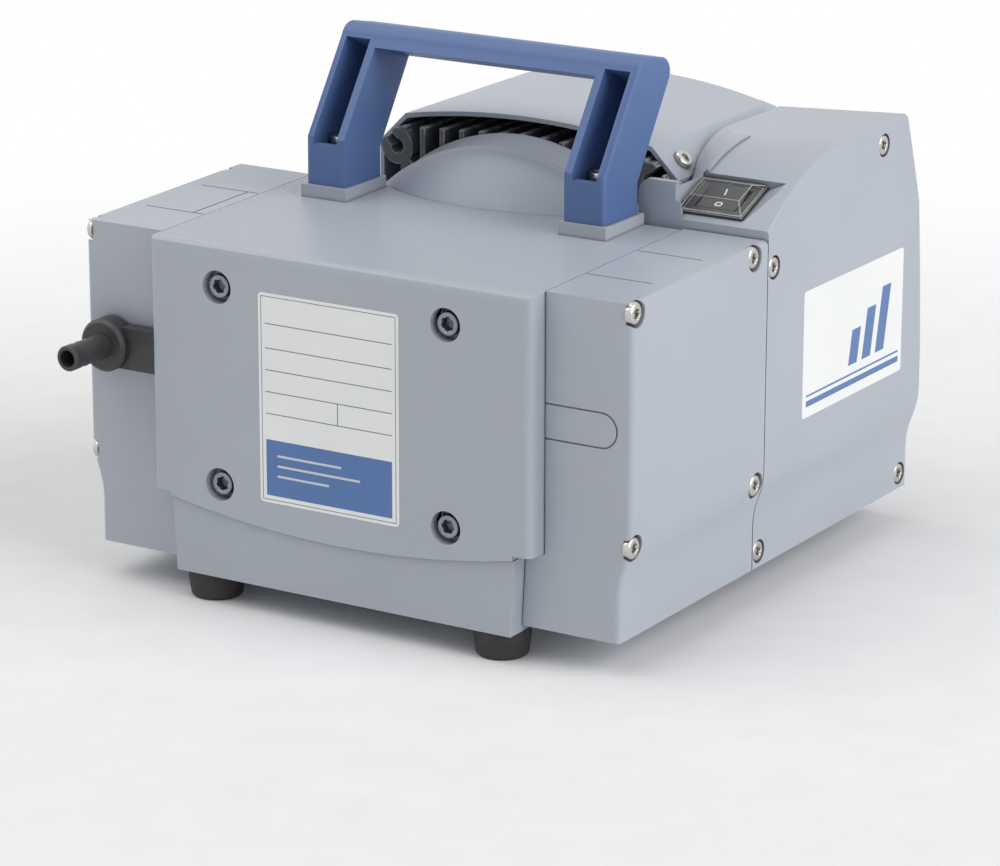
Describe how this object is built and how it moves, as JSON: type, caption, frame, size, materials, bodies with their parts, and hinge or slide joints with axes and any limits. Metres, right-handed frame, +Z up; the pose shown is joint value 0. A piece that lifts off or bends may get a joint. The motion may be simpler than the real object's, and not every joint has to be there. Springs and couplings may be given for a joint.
{
  "type": "diaphragm vacuum pump",
  "caption": "Bench-top twin-head diaphragm vacuum pump in a box-shaped housing with side covers, rear motor under an arched shroud, sloped rocker switch, carrying handle and hose nozzles",
  "frame": {"origin": "middle of the object's outer box in X and Y, on the surface that the feet stand on", "axes": "+Z up, -Y the front with the cover plate, +X the side with the switch"},
  "size_m": [0.243, 0.2656, 0.2089],
  "materials": {
    "body_paint": "light blue-grey enamel, satin",
    "shell_paint": "light blue-grey enamel on moulded covers, satin",
    "shroud_paint": "light grey powder coat",
    "handle_blue": "blue moulded plastic, fine grain",
    "black_rubber": "black rubber",
    "black_plastic": "black moulded plastic",
    "switch_black": "black moulded plastic, half gloss",
    "clear_cap": "clear moulded splash cap",
    "cast_aluminium": "die cast, bare",
    "bare_aluminium": "machined, bare",
    "steel": "bright zinc plated steel",
    "core_steel": "dull steel",
    "plate_steel": "zinc plated sheet",
    "copper_wire": "lacquered copper wire",
    "pipe_plastic": "milky plastic pipe"
  },
  "bodies": {
    "frame": {"base_plate": "plate_steel", "cover_seal": "black_rubber", "crankcase": "body_paint", "diaphragm_left": "black_rubber", "diaphragm_right": "black_rubber", "electrics_panel": "plate_steel", "electrics_screws": "steel", "electrics_shell": "shell_paint", "feet": "black_rubber", "foot_screws": "steel", "front_cover": "body_paint", "front_cover_screws": "steel", "handle": "handle_blue", "handle_screws": "steel", "head_bolts": "steel", "head_cover_left": "bare_aluminium", "head_cover_right": "bare_aluminium", "head_plate_left": "bare_aluminium", "head_plate_right": "bare_aluminium", "head_shell_left": "shell_paint", "head_shell_right": "shell_paint", "head_shell_screws": "steel", "inlet_elbow": "black_plastic", "inlet_nozzle": "black_plastic", "inlet_pipe": "pipe_plastic", "main_bearing_front": "steel", "main_bearing_rear": "steel", "motor_end_shield": "cast_aluminium", "motor_housing": "cast_aluminium", "motor_shroud": "shroud_paint", "motor_tie_bolts": "steel", "outlet_elbow": "black_plastic", "outlet_nozzle": "black_plastic", "outlet_pipe": "pipe_plastic", "power_inlet": "black_plastic", "rear_grille": "shroud_paint", "run_capacitor": "bare_aluminium", "shroud_screws": "steel", "stator_core": "core_steel", "stator_windings": "copper_wire", "switch_cap": "clear_cap", "switch_frame": "black_plastic", "valve_discs": "black_rubber"},
    "crank": {"crankshaft": "steel", "counterweight": "core_steel", "rotor_core": "core_steel", "cooling_fan": "black_plastic"},
    "rod_left": {"connecting_rod_left": "cast_aluminium", "rod_bearing_left": "steel", "support_disc_left": "bare_aluminium", "clamp_disc_left": "bare_aluminium"},
    "rod_right": {"connecting_rod_right": "cast_aluminium", "rod_bearing_right": "steel", "support_disc_right": "bare_aluminium", "clamp_disc_right": "bare_aluminium"},
    "rocker": {"rocker": "switch_black"}
  },
  "joints": [
    {"name": "crank_spin", "type": "hinge", "parent": "frame", "child": "crank", "pos_m": [0, 0, 0.0882], "axis": [0, 1, 0], "continuous": true, "deforming": ["diaphragm_left", "diaphragm_right"]},
    {"name": "rod_left_turn", "type": "hinge", "parent": "crank", "child": "rod_left", "pos_m": [0.003, -0.05625, 0.0882], "axis": [0, 1, 0], "continuous": true},
    {"name": "rod_right_turn", "type": "hinge", "parent": "crank", "child": "rod_right", "pos_m": [0.003, -0.04625, 0.0882], "axis": [0, 1, 0], "continuous": true},
    {"name": "rocker_tip", "type": "hinge", "parent": "frame", "child": "rocker", "pos_m": [0.095, 0.01292, 0.15312], "axis": [1, 0, 0], "range_deg": [-16, 0]}
  ],
  "couplings": [
    {"joint": "rod_left_turn", "follows": "crank_spin", "ratio": -1},
    {"joint": "rod_right_turn", "follows": "crank_spin", "ratio": -1}
  ]
}
